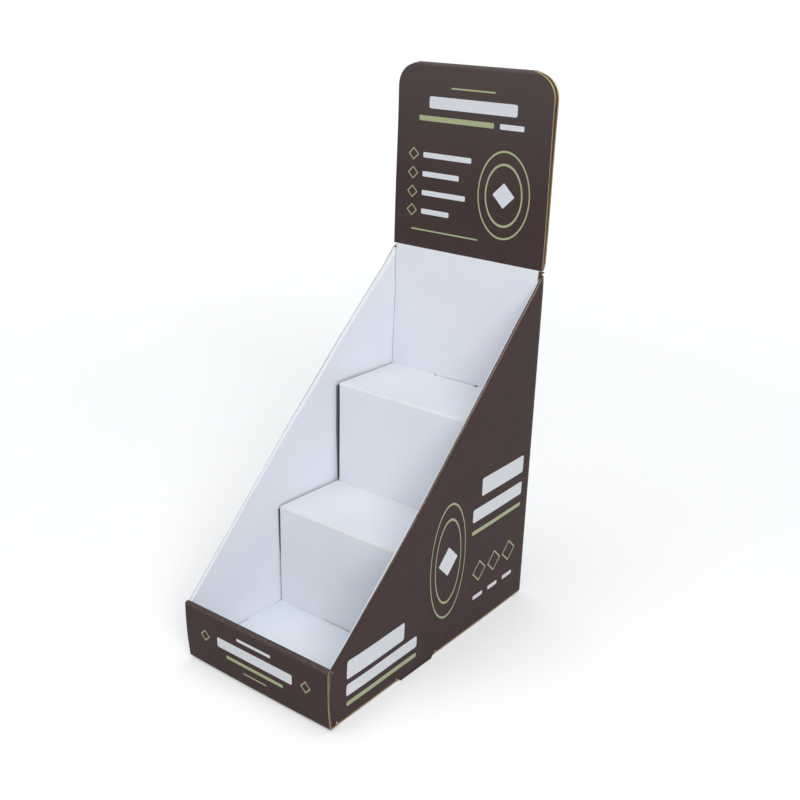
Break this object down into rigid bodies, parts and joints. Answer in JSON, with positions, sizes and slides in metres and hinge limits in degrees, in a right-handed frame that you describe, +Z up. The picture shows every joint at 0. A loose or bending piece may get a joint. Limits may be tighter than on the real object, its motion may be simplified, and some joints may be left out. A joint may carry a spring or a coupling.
{
  "type": "cardboard display stand",
  "caption": "Folded corrugated cardboard counter display with sloping doubled sides, a tall rounded header and a stepped insert that shows small goods in tiers",
  "frame": {"origin": "on the table under the middle of the stand's outline seen from above, level with the lower faces of the side tabs", "axes": "+X to the right across the stand seen from the front, +Y from the front wall to the back, +Z up"},
  "size_m": [0.11, 0.1864, 0.3195],
  "materials": {
    "printed_board": "matte",
    "white_board": "matte"
  },
  "bodies": {
    "root": {"display_tray": "printed_board", "step_insert": "white_board"}
  },
  "joints": []
}
